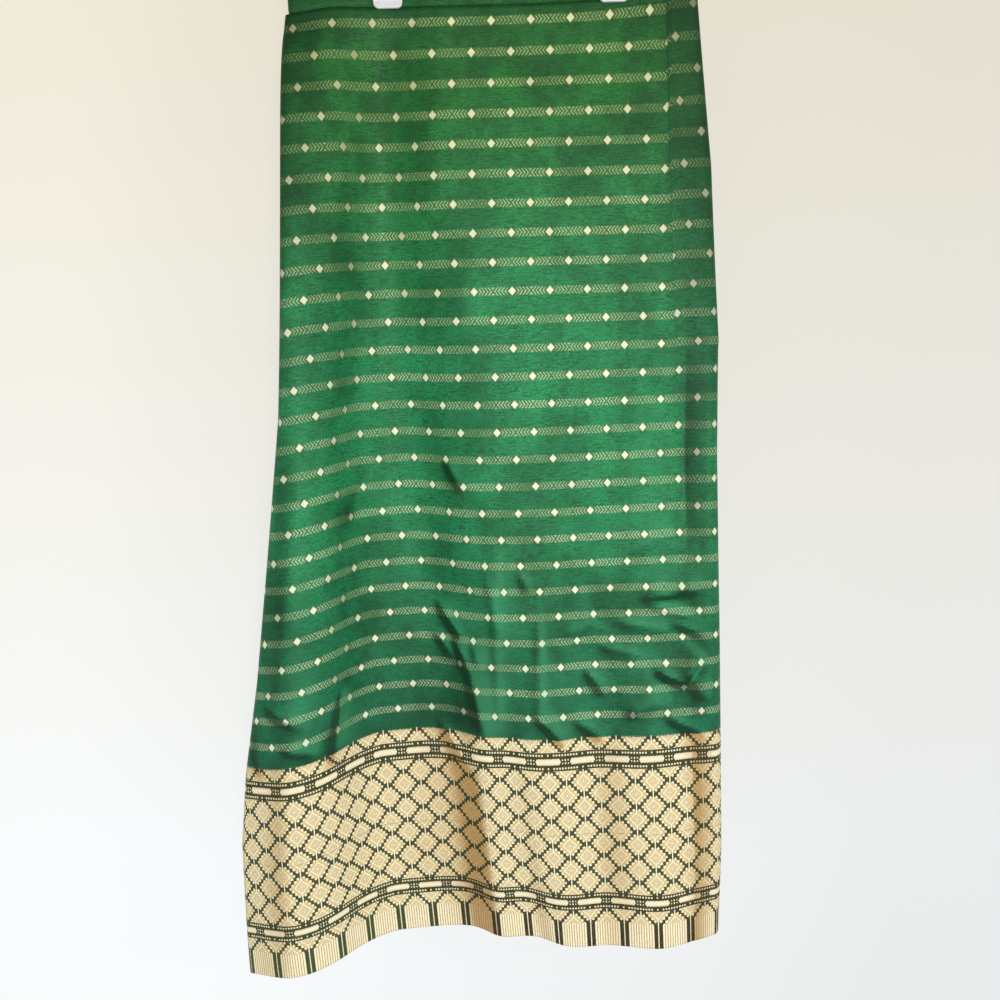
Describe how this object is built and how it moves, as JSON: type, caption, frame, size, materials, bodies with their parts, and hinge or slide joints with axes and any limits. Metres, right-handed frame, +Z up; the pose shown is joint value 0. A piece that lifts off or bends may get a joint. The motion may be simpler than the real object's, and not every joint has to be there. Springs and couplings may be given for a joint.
{
  "type": "sinh tube skirt on a clip hanger",
  "caption": "Long woven tube skirt with a patterned foot border, hung flat by its waistband from a hanger with two clips",
  "frame": {"origin": "the point inside the top of the hanger's hook that bears on a rail", "axes": "+Z up, +X to the right as the front of the skirt is seen, -Y out of the front of the skirt"},
  "size_m": [0.5166, 0.1128, 1.1221],
  "materials": {
    "body_cloth": "satin",
    "border_cloth": "satin",
    "waistband_cloth": "satin",
    "clip_plastic": "gloss",
    "hanger_metal": "polished"
  },
  "bodies": {
    "root": {"body_front": "body_cloth", "body_back": "body_cloth", "border_front": "border_cloth", "border_back": "border_cloth", "waistband": "waistband_cloth", "hanger_hook": "hanger_metal", "hanger_bar": "hanger_metal", "hanger_boss": "clip_plastic", "clip_left_front": "clip_plastic", "clip_left_back": "clip_plastic", "clip_left_slider": "clip_plastic", "clip_right_front": "clip_plastic", "clip_right_back": "clip_plastic", "clip_right_slider": "clip_plastic"}
  },
  "joints": []
}
